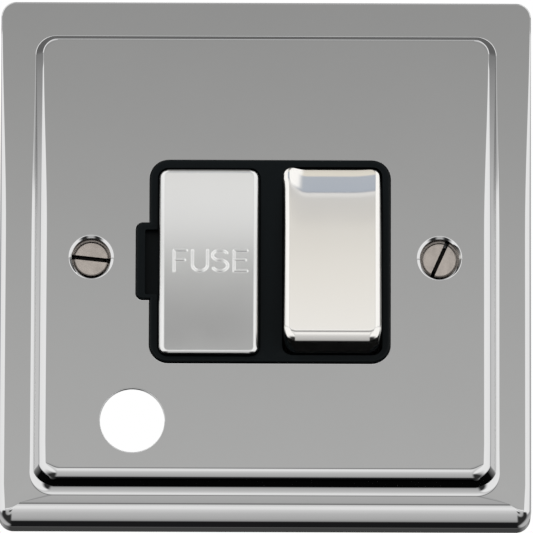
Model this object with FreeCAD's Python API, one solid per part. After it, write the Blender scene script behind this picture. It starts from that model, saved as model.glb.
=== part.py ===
import FreeCAD, Part
import math
import os

# Switched fused connection unit with a flex outlet in its front plate.
# Millimetres. +X is right, +Z is up, the front faces -Y and the wall plane is y = 0.
# The origin is the middle of the two fixing screws, in the wall plane.

# Front plate: one pressed sheet with a raised panel
plate_corner = 3.0
plate_sheet = 1.0
plate_flange = 6.0
flange_stand = 8.0
panel_rise = 4.2
riser_run = 1.8
foot_corner = 3.4
panel_corner = 2.7
crest_radius = 1.3
foot_radius = 0.9

# Fixing screws and the dishes that they sit in
fixing_spacing = 60.3
fixing_thread = 3.5
fixing_length = 25.0
fixing_head = 6.0
fixing_head_depth = 1.3
fixing_head_edge = 0.2
fixing_neck = 3.0
fixing_neck_past = 0.3
fixing_tip = 0.6
dish_diameter = 8.1
dish_floor_diameter = 6.5
dish_depth = 1.6
slot_width = 0.7
slot_depth = 0.8
slot_angles = (-6.0, 66.0)

# Flex outlet in the plate
outlet_diameter = 11.2
outlet_x = -22.9
outlet_z = -28.6

# Insert that carries the fuse carrier and the rocker
insert_x = 0.8
insert_z = -0.7
insert_corner = 3.2
insert_proud = 0.8
insert_flange = 2.0
insert_lip = 2.3
insert_gap = 0.1
insert_edge = 0.4
end_border = 1.65
middle_bar = 4.2
tab_reach = 2.35
tab_height = 13.4
tab_corner = 1.1
tab_border = 1.5
tab_recess_depth = 1.6
border = 1.5

# Fuse carrier and its metal cap
carrier_width = 17.4
carrier_end = 3.45
carrier_corner = 1.6
carrier_stand = 1.3
carrier_crown = 0.7
cap_sheet = 0.6
cap_edge = 0.9
window_gap = 0.15
neck_step = 0.75
leg_thickness = 1.2
leg_width = 10.0
catch_reach = 0.6
catch_length = 0.8
catch_width = 5.0
catch_gap = 0.3
ring_wall = 1.2
ring_length = 8.0
web_width = 5.0
carrier_travel = 12.0

# Cartridge fuse
fuse_length = 25.4
fuse_diameter = 6.3
fuse_cap_length = 5.6
fuse_cap_sheet = 0.3
fuse_sunk = 6.9
clip_sheet = 0.5
clip_width = 4.4
clip_gap = 0.05
clip_lip = 0.6
clip_stem = 3.0

# Rocker, modelled level and then tilted to its resting place
rocker_width = 16.9
rocker_margin = 0.6
rocker_stand = 2.7
rocker_tilt = 7.0
rocker_corner = 1.4
rocker_edge = 0.8
rocker_skirt = 4.5
rocker_sheet = 0.7
rocker_gap = 0.25
bevel_length = 4.6
bevel_angle = 16.0
pivot_sunk = 2.0
axle_diameter = 2.4
axle_gap = 0.05
axle_reach = 1.2
hub_length = 16.0
hub_inset = 1.4
hub_depth = 1.5
cheek_length = 6.0
cheek_wall = 0.4

# Poles, plungers, springs and see-saw contacts
pole_margin = 4.45
plunger_diameter = 2.6
plunger_length = 5.0
plunger_reach = 7.6
plunger_gap = 0.15
spring_wire = 0.4
spring_turns = 4
tube_wall = 0.7
tube_end = 2.6
spring_room = 2.0
arm_sunk = 10.1
arm_length = 15.0
arm_width = 4.8
arm_sheet = 0.8
arm_tilt = 8.0
contact_diameter = 3.0
contact_height = 0.5
contact_reach = 6.2
contact_edge = 0.2
hook_length = 1.0
hook_height = 0.5
fulcrum_foot = 2.8
fulcrum_edge = 0.3
fulcrum_gap = 0.08
fulcrum_inset = 0.4
running_gap = 0.05

# Rear housing
wall = 1.6
housing_margin = 1.45
housing_corner = 1.5
chamber_depth = 14.2
chamber_length = 22.0
chamber_step = 1.2
drum_depth = 4.5
back_recess = 1.2
back_margin = 3.0
back_corner = 2.0
link_sheet = 0.8
link_width = 4.0
link_turn = 2.0
seat_gap = 0.1

# Terminals
terminal_width = 8.4
terminal_height = 7.5
terminal_bore = 4.2
terminal_screw = 3.0
terminal_head = 5.6
terminal_head_depth = 1.6
terminal_sunk = 0.3
terminal_floor = 1.6
terminal_roof = 2.1
core_clear = 0.1
terminal_edge = 0.4
entry_gap = 0.6
top_inset = 5.1
top_pitch = 13.4
bottom_inset = 4.5
bottom_pitch = 10.0

# Ears, bosses and the screws that hold the housing to the plate
ear_radius = 3.6
ear_thickness = 2.8
boss_radius = 3.0
housing_screw = 3.0
housing_head = 5.4
housing_head_depth = 1.7
screw_gap = 0.2
screw_end = 0.3
head_edge = 0.25
head_slot = 0.8
ear_left = 5.2
ear_right = 4.0
ear_rise = 4.35
ear_drop = 4.45
ear_lift = 8.1
strap_sheet = 0.8
strap_width = 4.0
strap_rise = 0.6
strap_gap = 0.1
strap_ring = 0.5

# Cord grip beside the flex outlet
flex_diameter = 7.0
grip_x = -12.1
grip_height = 6.5
grip_width = 8.2
grip_bar_width = 5.8
grip_bar_sheet = 1.8
grip_bar_corner = 1.2
grip_gap = 0.3
grip_arch = 0.9
grip_head = 4.8
grip_foot = 2.3
grip_clear = 0.4
ledge_end = 3.0
ledge_gap = 0.7
ledge_floor = 2.0

# Lengths worked out from the sizes above: the fuse sets the carrier, the carrier the insert,
# and the plate is as tall as the fuse chamber with the cord grip below it needs
carrier_height = fuse_length + 2 * carrier_end
insert_height = carrier_height + 2 * end_border
insert_width = carrier_width + middle_bar + rocker_width + 2 * border
rocker_swing = insert_height / 2 - rocker_margin
fuse_room = fuse_length / 2 + wall
left_end = insert_z - fuse_room - wall
grip_pitch = flex_diameter + 2 * grip_arch + grip_head + grip_clear
grip_z = left_end - grip_clear - grip_foot - grip_clear / 2 - grip_pitch / 2
panel_size = 2 * (grip_pitch / 2 - grip_z + ledge_end + ledge_gap + plate_sheet)
foot_size = panel_size + 2 * riser_run
plate_size = foot_size + 2 * plate_flange

# Planes worked out from the sizes above
panel_face = -(flange_stand + panel_rise)
panel_back = panel_face + plate_sheet
insert_face = panel_face - insert_proud
housing_front = panel_back + insert_flange
fuse_depth = housing_front + fuse_sunk
pivot_y = housing_front + pivot_sunk
arm_pivot_y = housing_front + arm_sunk
chamber_floor = housing_front + chamber_depth
# The cores pass close behind the wall plane, y 0, and the terminals over them set the housing's back
terminal_depth = terminal_floor + terminal_bore + terminal_roof
housing_back = core_clear + terminal_bore + terminal_roof + terminal_head_depth + terminal_sunk
link_top = chamber_floor - link_sheet
insert_left = insert_x - insert_width / 2
insert_right = insert_x + insert_width / 2
fuse_x = insert_left + border + carrier_width / 2
rocker_x = insert_right - border - rocker_width / 2
pole_reach = rocker_width / 2 - pole_margin
pole_xs = (rocker_x - pole_reach, rocker_x + pole_reach)
swing_room = rocker_swing + rocker_gap
rocker_face = insert_face - rocker_stand
left_wall = insert_left - housing_margin
right_wall = insert_right + housing_margin
chamber_half = carrier_width / 2 - neck_step + catch_reach + window_gap
top_row = insert_z + swing_room + wall
bottom_row = insert_z - swing_room - wall
top_terminals = (left_wall + top_inset, insert_x, insert_x + top_pitch)
bottom_terminals = tuple(right_wall - bottom_inset - place * bottom_pitch for place in (2, 1, 0))
ears = ((left_wall - ear_left, top_row + ear_rise), (right_wall + ear_right, top_row + ear_rise),
        (left_wall - ear_left, left_end + ear_lift), (right_wall + ear_right, bottom_row - ear_drop))
screw_root = fixing_thread / 2 + window_gap
far = plate_size


def v(x, y, z):
    return FreeCAD.Vector(x, y, z)


def block(x0, x1, y0, y1, z0, z1):
    return Part.makeBox(x1 - x0, y1 - y0, z1 - z0, v(x0, y0, z0))


def rod_y(x, z, radius, y0, y1):
    return Part.makeCylinder(radius, y1 - y0, v(x, y0, z), v(0, 1, 0))


def rod_x(y, z, radius, x0, x1):
    return Part.makeCylinder(radius, x1 - x0, v(x0, y, z), v(1, 0, 0))


def rod_z(x, y, radius, z0, z1):
    return Part.makeCylinder(radius, z1 - z0, v(x, y, z0), v(0, 0, 1))


def rounded_wire(width, height, radius, y, x=0.0, z=0.0):
    """Rectangle with round corners in the plane at y."""
    a = width / 2
    b = height / 2
    r = min(radius, a * 0.95, b * 0.95)
    c = r * (1 - math.sqrt(0.5))
    edges = [
        Part.makeLine(v(x - a + r, y, z + b), v(x + a - r, y, z + b)),
        Part.Arc(v(x + a - r, y, z + b), v(x + a - c, y, z + b - c), v(x + a, y, z + b - r)).toShape(),
        Part.makeLine(v(x + a, y, z + b - r), v(x + a, y, z - b + r)),
        Part.Arc(v(x + a, y, z - b + r), v(x + a - c, y, z - b + c), v(x + a - r, y, z - b)).toShape(),
        Part.makeLine(v(x + a - r, y, z - b), v(x - a + r, y, z - b)),
        Part.Arc(v(x - a + r, y, z - b), v(x - a + c, y, z - b + c), v(x - a, y, z - b + r)).toShape(),
        Part.makeLine(v(x - a, y, z - b + r), v(x - a, y, z + b - r)),
        Part.Arc(v(x - a, y, z + b - r), v(x - a + c, y, z + b - c), v(x - a + r, y, z + b)).toShape(),
    ]
    return Part.Wire(edges)


def slab(width, height, radius, y0, y1, x=0.0, z=0.0):
    """Rounded rectangle carried from y0 to y1."""
    face = Part.Face(rounded_wire(width, height, radius, y0, x, z))
    return face.extrude(v(0, y1 - y0, 0))


def turned(profile, x, z):
    """Profile of (radius, y) points turned round the line along Y through x, z."""
    points = [v(x + r, y, z) for r, y in profile]
    face = Part.Face(Part.makePolygon(points + points[:1]))
    return face.revolve(v(x, 0, z), v(0, 1, 0), 360)


def plank(points, x0, x1):
    """Outline of (y, z) points carried from x0 to x1."""
    corners = [v(x0, y, z) for y, z in points]
    return Part.Face(Part.makePolygon(corners + corners[:1])).extrude(v(x1 - x0, 0, 0))


def joined(first, *rest):
    return first.fuse(list(rest)).removeSplitter()


def edges_at(shape, y, half):
    """Edges that lie in the plane at y and within half of the middle."""
    found = []
    for edge in shape.Edges:
        box = edge.BoundBox
        level = abs(box.YMin - y) < 1e-4 and abs(box.YMax - y) < 1e-4
        if level and max(abs(box.XMin), abs(box.XMax), abs(box.ZMin), abs(box.ZMax)) < half:
            found.append(edge)
    return found


def pressed_form(inset, back):
    """Space behind the plate's skin, moved inwards by inset and open at the back."""
    draft = math.atan((foot_size - panel_size) / 2 / panel_rise)
    step = inset * (1 / math.cos(draft) - math.tan(draft))
    flange = inset - flange_stand
    panel = inset + panel_face
    foot = foot_size - 2 * step
    top = panel_size - 2 * step
    outer = plate_size - 2 * inset
    base = slab(outer, outer, plate_corner - inset, back, flange)
    riser = Part.makeLoft([
        rounded_wire(foot, foot, foot_corner - step, flange),
        rounded_wire(top, top, panel_corner - step, panel),
    ], True, True)
    form = joined(base, riser)
    form = form.makeFillet(foot_radius + inset, edges_at(form, flange, foot / 2 + 0.1))
    form = form.makeFillet(crest_radius - inset, edges_at(form, panel, top / 2 + 0.1))
    rim = [e for e in edges_at(form, flange, outer) if e not in edges_at(form, flange, outer / 2 - 0.8)]
    return form.makeFillet(crest_radius - inset, rim)


def dish_profile(offset):
    """Dish of one fixing screw, moved back by offset, from the panel's face to its floor."""
    rim = dish_diameter / 2 + offset
    floor = dish_floor_diameter / 2 + offset
    seat = panel_face + dish_depth + offset
    bottom = seat + fixing_head_depth
    return [(0, panel_face - 1), (rim, panel_face - 1), (rim, panel_face), (floor, seat),
            (screw_root + offset, bottom), (0, bottom)]


def aperture(gap):
    """Outline of the insert and its tab, grown by gap, through the plate."""
    front = insert_face - 1
    frame = slab(insert_width + 2 * gap, insert_height + 2 * gap, insert_corner + gap,
                 front, housing_front, insert_x, insert_z)
    tab_width = 2 * tab_reach
    tab = slab(tab_width + 2 * gap, tab_height + 2 * gap, tab_corner + gap,
               front, housing_front, insert_left, insert_z)
    return joined(frame, tab)


def front_plate():
    plate = pressed_form(0, 0).cut(pressed_form(plate_sheet, 1))
    for side in (-1, 1):
        x = side * fixing_spacing / 2
        plate = plate.fuse(turned(dish_profile(plate_sheet)[2:] + [(0, panel_face)], x, 0))
    for side in (-1, 1):
        x = side * fixing_spacing / 2
        plate = plate.cut(turned(dish_profile(0), x, 0))
        plate = plate.cut(rod_y(x, 0, screw_root, panel_face, 0))
    plate = plate.cut(aperture(insert_gap))
    plate = plate.cut(rod_y(outlet_x, outlet_z, outlet_diameter / 2, panel_face - 1, panel_back + 1))
    return plate.removeSplitter()


def plate_bosses():
    rings = []
    for x, z in ears:
        boss = rod_y(x, z, boss_radius, panel_back, housing_front)
        rings.append(boss.cut(rod_y(x, z, housing_screw / 2 + running_gap, panel_back, housing_front)))
    return Part.makeCompound(rings)


def bearing(grow, front):
    """Space of the rocker's axle, open to the front, grown by grow."""
    radius = axle_diameter / 2 + grow
    reach = rocker_width / 2 + rocker_gap + axle_reach + running_gap
    hole = rod_x(pivot_y, insert_z, radius, rocker_x - reach, rocker_x + reach)
    way = block(rocker_x - reach, rocker_x + reach, front, pivot_y, insert_z - radius, insert_z + radius)
    return hole.fuse(way)


def insert_bezel():
    front = aperture(0).common(block(-far, far, insert_face, housing_front, -far, far))
    rim = edges_at_front(front, insert_face)
    front = front.makeFillet(insert_edge, rim)
    left = insert_left - tab_reach - 1
    flange = slab(right_wall - left, insert_height + 2 * insert_lip, insert_corner,
                  panel_back, housing_front, (left + right_wall) / 2, insert_z)
    bezel = joined(front, flange)
    window = slab(carrier_width + 2 * window_gap, carrier_height + 2 * window_gap,
                  carrier_corner + window_gap, insert_face - 1, panel_back, fuse_x, insert_z)
    neck = slab(carrier_width - 2 * neck_step + 2 * window_gap,
                carrier_height - 2 * neck_step + 2 * window_gap,
                carrier_corner, insert_face - 1, housing_front + 1, fuse_x, insert_z)
    recess_left = insert_left - tab_reach + tab_border
    recess_half = tab_height / 2 - 1
    recess = block(recess_left, fuse_x, insert_face - 1, insert_face + tab_recess_depth,
                   insert_z - recess_half, insert_z + recess_half)
    bezel = bezel.cut(window).cut(neck).cut(recess)
    bezel = bezel.cut(swing_drum(rocker_gap, rocker_corner + rocker_gap))
    half = rocker_width / 2 + rocker_gap
    keeper_front = pivot_y - axle_diameter / 2 - running_gap
    reach = half + axle_reach
    for side in (-1, 1):
        ends = sorted((rocker_x + side * (half + running_gap), rocker_x + side * (reach - running_gap)))
        z_half = axle_diameter / 2 - running_gap
        keeper = block(ends[0], ends[1], housing_front, keeper_front, insert_z - z_half, insert_z + z_half)
        bezel = bezel.fuse(keeper)
    return bezel.removeSplitter()


def edges_at_front(shape, y):
    return [e for e in shape.Edges if abs(e.BoundBox.YMin - y) < 1e-4 and abs(e.BoundBox.YMax - y) < 1e-4]


def crowned(inset, back):
    """Fuse carrier's front, moved inwards by inset, from its crown back to a plane."""
    half = carrier_height / 2
    radius = (half ** 2 + carrier_crown ** 2) / (2 * carrier_crown)
    crest = insert_face - carrier_stand - carrier_crown + inset
    width = carrier_width - 2 * inset
    height = carrier_height - 2 * inset
    form = slab(width, height, carrier_corner - inset, crest - 1, back, fuse_x, insert_z)
    crown = rod_x(crest + radius - inset, insert_z, radius - inset,
                  fuse_x - carrier_width, fuse_x + carrier_width)
    form = form.common(crown)
    top = [e for e in form.Edges if e.BoundBox.YMax < insert_face - carrier_stand + inset + 0.3]
    return form.makeFillet(max(cap_edge - inset, 0.15), top)


def fuse_carrier_cap():
    back = panel_back - seat_gap
    return crowned(0, back).cut(crowned(cap_sheet, back + 1))


def fuse_carrier():
    slab_back = housing_front - seat_gap
    head = crowned(cap_sheet + running_gap, panel_back - seat_gap)
    neck = slab(carrier_width - 2 * neck_step, carrier_height - 2 * neck_step, carrier_corner - 0.3,
                panel_back - seat_gap, slab_back, fuse_x, insert_z)
    holder = fuse_diameter / 2 - fuse_cap_sheet + running_gap
    low = insert_z - ring_length / 2
    high = insert_z + ring_length / 2
    ring = rod_z(fuse_x, fuse_depth, holder + ring_wall, low, high)
    web = block(fuse_x - web_width / 2, fuse_x + web_width / 2, slab_back, fuse_depth, low, high)
    mouth = block(fuse_x - holder * 0.8, fuse_x + holder * 0.8, fuse_depth, fuse_depth + fuse_diameter,
                  low - 1, high + 1)
    carrier = head.fuse([neck, web, ring])
    leg_out = carrier_width / 2 - neck_step
    leg_end = housing_front + carrier_travel + catch_gap + catch_length
    for side in (-1, 1):
        inner = sorted((fuse_x + side * (leg_out - leg_thickness), fuse_x + side * leg_out))
        leg = block(inner[0], inner[1], slab_back, leg_end,
                    insert_z - leg_width / 2, insert_z + leg_width / 2)
        outer = sorted((fuse_x + side * (leg_out - leg_thickness), fuse_x + side * (leg_out + catch_reach)))
        catch = block(outer[0], outer[1], leg_end - catch_length, leg_end,
                      insert_z - catch_width / 2, insert_z + catch_width / 2)
        carrier = carrier.fuse([leg, catch])
    carrier = carrier.cut(rod_z(fuse_x, fuse_depth, holder, low - 1, high + 1)).cut(mouth)
    return carrier.removeSplitter()


def fuse_parts():
    """Ceramic barrel and its two metal end caps."""
    half = fuse_length / 2
    outer = fuse_diameter / 2
    inner = outer - fuse_cap_sheet
    barrel = rod_z(fuse_x, fuse_depth, inner,
                   insert_z - half + fuse_cap_sheet, insert_z + half - fuse_cap_sheet)
    caps = []
    for side in (1, -1):
        ends = sorted((insert_z + side * half, insert_z + side * (half - fuse_cap_length)))
        cap = rod_z(fuse_x, fuse_depth, outer, ends[0], ends[1])
        circle = [e for e in cap.Edges if e.Closed and abs(e.BoundBox.ZMin - (insert_z + side * half)) < 1e-4]
        cap = cap.makeFillet(0.4, circle)
        caps.append(cap.cut(barrel))
    return barrel, caps


def fuse_clip(side):
    """Bent strip whose two prongs grip one end of the fuse."""
    inner = fuse_diameter / 2 + clip_gap
    outer = inner + clip_sheet
    middle = insert_z + side * (fuse_length / 2 - fuse_cap_length / 2)
    z0 = middle - clip_width / 2
    z1 = middle + clip_width / 2
    lip = fuse_depth - fuse_diameter / 2 + clip_lip
    cup = rod_z(fuse_x, fuse_depth, outer, z0, z1)
    prongs = block(fuse_x - outer, fuse_x + outer, lip, fuse_depth, z0, z1)
    stem = block(fuse_x - clip_stem / 2, fuse_x + clip_stem / 2, fuse_depth + inner, link_top, z0, z1)
    bore = rod_z(fuse_x, fuse_depth, inner, z0, z1)
    way = block(fuse_x - inner, fuse_x + inner, lip - outer, fuse_depth, z0, z1)
    return joined(cup, prongs, stem).cut(bore).cut(way)


def tilted(shape, angle, y):
    """Turned about the line along X through y and the insert's middle height."""
    shape.rotate(v(0, y, insert_z), v(1, 0, 0), angle)
    return shape


def swing_drum(grow, corner):
    """Drum that the rocker's ends sweep, grown by grow, its rims rounded as the rocker's corners."""
    half = rocker_width / 2 + grow
    drum = rod_x(pivot_y, insert_z, rocker_swing + grow, rocker_x - half, rocker_x + half)
    return drum.makeFillet(corner, [e for e in drum.Edges if e.BoundBox.XMax - e.BoundBox.XMin < 1e-3])


def front_edges(form):
    """Edges round the rocker's face and bevel, without the bend between them."""
    count = {}
    for face in form.Faces:
        flat = isinstance(face.Surface, Part.Plane)
        if not flat or face.normalAt(0, 0).y > -0.5:
            continue
        for edge in face.Edges:
            key = edge.hashCode()
            count[key] = count.get(key, []) + [edge]
    return [found[0] for found in count.values() if len(found) == 1]


def rocker_shell(inset, back):
    """Rocker's front, level, moved inwards by inset, with ends that follow its swing."""
    face = rocker_face + inset
    half = 2 * rocker_swing
    turn = insert_z + math.sqrt(rocker_swing ** 2 - (pivot_y - rocker_face) ** 2) - bevel_length
    drop = half * math.tan(math.radians(bevel_angle))
    outline = [(face, insert_z - half), (face, turn), (face + drop, turn + half),
               (back, turn + half), (back, insert_z - half)]
    drum = swing_drum(-inset, max(rocker_corner - inset, 0.3))
    form = plank(outline, rocker_x - rocker_width, rocker_x + rocker_width).common(drum)
    return form.makeFillet(max(rocker_edge - inset, 0.15), front_edges(form))


def rocker_cap():
    back = rocker_face + rocker_skirt
    cap = rocker_shell(0, back).cut(rocker_shell(rocker_sheet, back + 1))
    return tilted(cap, -rocker_tilt, pivot_y)


def plunger_bore(x):
    return rod_y(x, insert_z, plunger_diameter / 2 + plunger_gap, spring_seat(), pivot_y + plunger_reach)


def spring_seat():
    return rocker_face + rocker_sheet + spring_room


def rocker_body():
    back = pivot_y - hub_depth
    inset = rocker_sheet + running_gap
    body = rocker_shell(inset, back)
    cheek = rocker_width / 2 - inset
    side = cheek - hub_inset
    hub = block(rocker_x - side, rocker_x + side, back - 1, pivot_y + hub_depth,
                insert_z - hub_length / 2, insert_z + hub_length / 2)
    cheeks = block(rocker_x - cheek, rocker_x + cheek, back - 1, pivot_y + axle_diameter / 2 + cheek_wall,
                   insert_z - cheek_length / 2, insert_z + cheek_length / 2)
    reach = rocker_width / 2 + rocker_gap + axle_reach - running_gap
    axle = rod_x(pivot_y, insert_z, axle_diameter / 2, rocker_x - reach, rocker_x + reach)
    body = body.fuse([hub, cheeks, axle])
    tube = plunger_diameter / 2 + plunger_gap + tube_wall
    for x in pole_xs:
        body = body.fuse(rod_y(x, insert_z, tube, back, pivot_y + plunger_reach - tube_end))
    for x in pole_xs:
        body = body.cut(plunger_bore(x))
    return tilted(body.removeSplitter(), -rocker_tilt, pivot_y)


def plunger(x):
    radius = plunger_diameter / 2
    tip = pivot_y + plunger_reach
    pin = rod_y(x, insert_z, radius, tip - plunger_length, tip - radius)
    nose = Part.makeSphere(radius, v(x, tip - radius, insert_z))
    return tilted(joined(pin, nose), -rocker_tilt, pivot_y)


def plunger_spring(x):
    """Coil of tilted half rings between the rocker's inside and the back of one plunger."""
    start = spring_seat() + spring_wire / 2
    end = pivot_y + plunger_reach - plunger_length - spring_wire / 2 - running_gap
    radius = plunger_diameter / 2 - spring_wire / 2
    rise = (end - start) / spring_turns / 2
    halves = []
    for count in range(2 * spring_turns):
        side = 1 if count % 2 == 0 else -1
        wire = Part.Wire(Part.makeCircle(spring_wire / 2, v(side * radius, count * rise, 0), v(0, 0, 1)))
        middle = v(0, (count + 0.5) * rise, 0)
        halves.append(Part.Face(wire).revolve(middle, v(side * rise, 2 * radius, 0), 180))
    coil = joined(*halves)
    coil.translate(v(x, start, insert_z))
    return tilted(coil, -rocker_tilt, pivot_y)


def contact_arm(x):
    """See-saw strip with one contact button, tilted to its resting place."""
    half = arm_length / 2
    y0 = arm_pivot_y - arm_sheet / 2
    y1 = arm_pivot_y + arm_sheet / 2
    leaf = slab(arm_width, arm_length, hook_length, y0, y1, x, insert_z)
    button = rod_y(x, insert_z + contact_reach, contact_diameter / 2, y1, y1 + contact_height)
    rim = [e for e in button.Edges if e.Closed and e.BoundBox.YMin > y1 + contact_height - 1e-3]
    button = button.makeChamfer(contact_edge, rim)
    hook = block(x - arm_width / 2, x + arm_width / 2, y0 - hook_height, y0,
                 insert_z - half, insert_z - half + hook_length)
    return tilted(joined(leaf, button, hook), arm_tilt, arm_pivot_y)


def fixed_contact_top():
    """Front of the fixed contact, just clear of the closed arm's button."""
    angle = math.radians(arm_tilt)
    behind = arm_sheet / 2 + contact_height
    outer = contact_reach + contact_diameter / 2 - contact_edge
    return arm_pivot_y + behind * math.cos(angle) + outer * math.sin(angle) + running_gap


def strip(x0, x1, z0, z1, grow=0.0):
    """Flat strip on the chamber floor, or its channel when grown."""
    return block(x0 - grow, x1 + grow, link_top - grow, chamber_floor, z0 - grow, z1 + grow)


def supply_strips(pole, grow=0.0):
    """Way from a supply terminal to the fixed contact of one pole."""
    x = pole_xs[pole]
    half = link_width / 2
    terminal = top_terminals[pole + 1]
    foot = insert_z + contact_reach - contact_diameter / 2
    turn = top_row - half - link_turn
    near = terminal if abs(terminal - x) > half else x
    parts = [strip(x - half, x + half, foot, turn + half, grow)]
    parts.append(strip(min(x, near) - half, max(x, near) + half, turn - half, turn + half, grow))
    parts.append(strip(near - half, near + half, turn - half, top_row, grow))
    return joined(*parts)


def supply_contact(pole):
    x = pole_xs[pole]
    pad = rod_y(x, insert_z + contact_reach, contact_diameter / 2, fixed_contact_top(), link_top)
    return joined(supply_strips(pole), pad)


def fulcrum(x):
    """Wedge that the see-saw rocks on."""
    edge = arm_pivot_y + arm_sheet / 2 + fulcrum_gap
    tip = fulcrum_edge / 2
    foot = fulcrum_foot / 2
    profile = [(edge, insert_z - tip), (edge, insert_z + tip), (link_top, insert_z + foot),
               (link_top, insert_z - foot)]
    half = arm_width / 2 - fulcrum_inset
    return plank(profile, x - half, x + half)


def live_strips(grow=0.0):
    """Way from the live fulcrum to the foot of the upper fuse clip."""
    half = link_width / 2
    top = insert_z + fuse_length / 2
    across = strip(fuse_x - half, pole_xs[0] + half, insert_z - half, insert_z + half, grow)
    up = strip(fuse_x - half, fuse_x + half, insert_z - half, top, grow)
    return joined(across, up)


def neutral_strips(grow=0.0):
    """Way from the neutral fulcrum to the neutral load terminal."""
    half = link_width / 2
    x = pole_xs[1]
    terminal = bottom_terminals[1]
    turn = bottom_row + half + link_turn / 2
    down = strip(x - half, x + half, turn - half, insert_z + half, grow)
    across = strip(terminal - half, x + half, turn - half, turn + half, grow)
    foot = strip(terminal - half, terminal + half, bottom_row, turn + half, grow)
    return joined(down, across, foot)


def load_live_strips(grow=0.0):
    """Way from the lower fuse clip to the live load terminal."""
    half = link_width / 2
    low = insert_z - fuse_length / 2
    terminal = bottom_terminals[0] - link_turn / 2
    under = strip(fuse_x - half, fuse_x + half, low, low + clip_width + 1, grow)
    across = strip(fuse_x - half, terminal + half, low, low + 3, grow)
    down = strip(terminal - half, terminal + half, bottom_row, low + 3, grow)
    return joined(under, across, down)


def terminal_places():
    """Name, x, near face z and direction of each terminal."""
    names = ("supply_earth", "supply_live", "supply_neutral")
    places = [(n, x, top_row, 1) for n, x in zip(names, top_terminals)]
    names = ("load_live", "load_neutral", "load_earth")
    places += [(n, x, bottom_row, -1) for n, x in zip(names, bottom_terminals)]
    return places


def terminal_span(z, way, extra=0.0):
    return sorted((z - way * extra, z + way * (terminal_height + extra)))


def terminal_top():
    return housing_back - terminal_head_depth - terminal_sunk


def terminal_bore_y():
    return terminal_top() - terminal_depth + terminal_bore / 2 + terminal_floor


def terminal(x, z, way):
    """Brass block with a bore for the conductors and a tapped hole for its screw."""
    top = terminal_top()
    z0, z1 = terminal_span(z, way)
    body = block(x - terminal_width / 2, x + terminal_width / 2, top - terminal_depth, top, z0, z1)
    body = body.makeChamfer(terminal_edge, [e for e in body.Edges if e.BoundBox.YLength > 1])
    bore_y = terminal_bore_y()
    body = body.cut(rod_z(x, bore_y, terminal_bore / 2, z0, z1))
    return body.cut(rod_y(x, (z0 + z1) / 2, terminal_screw / 2 + running_gap, bore_y, top))


def slotted_screw(x, z, head, depth, thread, seat, end, slot):
    """Cheese-head screw seen from the back, its head on the plane at seat."""
    cheese = rod_y(x, z, head / 2, seat, seat + depth)
    rim = [e for e in cheese.Edges if e.Closed and e.BoundBox.YMin > seat + depth - 1e-3]
    cheese = cheese.makeChamfer(head_edge, rim)
    half = head_slot / 2
    cut = block(x - head, x + head, seat + depth / 2, seat + depth + 1, z - half, z + half)
    cut.rotate(v(x, 0, z), v(0, 1, 0), slot)
    return cheese.cut(cut).fuse(rod_y(x, z, thread / 2, end, seat)).removeSplitter()


def terminal_screws():
    end = terminal_bore_y() + terminal_bore / 2 + screw_end
    screws = []
    for count, (_, x, z, way) in enumerate(terminal_places()):
        z0, z1 = terminal_span(z, way)
        screws.append(slotted_screw(x, (z0 + z1) / 2, terminal_head, terminal_head_depth, terminal_screw,
                                    terminal_top(), end, 35 + 50 * count))
    return Part.makeCompound(screws)


def housing_outline():
    """Outside of the housing with its ears and the cord grip's ledge."""
    upper_top = top_row + terminal_height + wall
    lower_end = bottom_row - terminal_height - wall
    step = bottom_terminals[0] - terminal_width / 2 - wall
    upper = slab(right_wall - left_wall, upper_top - left_end, housing_corner, housing_front, housing_back,
                 (left_wall + right_wall) / 2, (upper_top + left_end) / 2)
    lap = left_end + 4 * housing_corner
    lower = slab(right_wall - step, lap - lower_end, housing_corner, housing_front, housing_back,
                 (step + right_wall) / 2, (lap + lower_end) / 2)
    ledge_low = grip_z - grip_pitch / 2 - ledge_end
    ledge = block(grip_x - grip_width / 2, step + 1, housing_front, grip_level(), ledge_low, left_end + 1)
    parts = [lower, ledge]
    for x, z in ears:
        inner = right_wall - 1 if x > 0 else left_wall + 1
        ends = sorted((x, inner))
        parts.append(rod_y(x, z, ear_radius, housing_front, housing_front + ear_thickness))
        parts.append(block(ends[0], ends[1], housing_front, housing_front + ear_thickness,
                           z - ear_radius, z + ear_radius))
    return joined(upper, *parts)


def grip_level():
    return housing_front + grip_height


def rear_housing():
    housing = housing_outline()
    front = housing_front - 1
    half = chamber_half
    cuts = [block(fuse_x - half, fuse_x + half, front, chamber_floor,
                  insert_z - fuse_room, insert_z + fuse_room)]
    room = rocker_width / 2 + rocker_gap
    cuts.append(rod_x(pivot_y, insert_z, swing_room, rocker_x - room, rocker_x + room).common(
        block(-far, far, front, housing_front + drum_depth, -far, far)))
    inner = room - chamber_step
    cuts.append(block(rocker_x - inner, rocker_x + inner, pivot_y, chamber_floor,
                      insert_z - chamber_length / 2, insert_z + chamber_length / 2))
    cuts.append(bearing(axle_gap, front))
    for pole in (0, 1):
        cuts.append(supply_strips(pole, seat_gap))
    cuts += [live_strips(seat_gap), neutral_strips(seat_gap), load_live_strips(seat_gap)]
    for _, x, z, way in terminal_places():
        cuts.append(terminal_pocket(x, z, way))
    for x, z in ears:
        cuts.append(rod_y(x, z, housing_screw / 2 + screw_gap, front, housing_back))
    cuts += [strap_room(0), strap_room(3), back_panel()]
    saddle_end = bottom_terminals[0] - terminal_width / 2 - wall
    cuts.append(rod_x(grip_axis(), grip_z, flex_diameter / 2, -far, saddle_end))
    for side in (-1, 1):
        cuts.append(rod_y(grip_x, grip_z + side * grip_pitch / 2, housing_screw / 2 + running_gap,
                          housing_front + ledge_floor - 0.5, grip_level() + 1))
    return housing.cut(cuts).removeSplitter()


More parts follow.
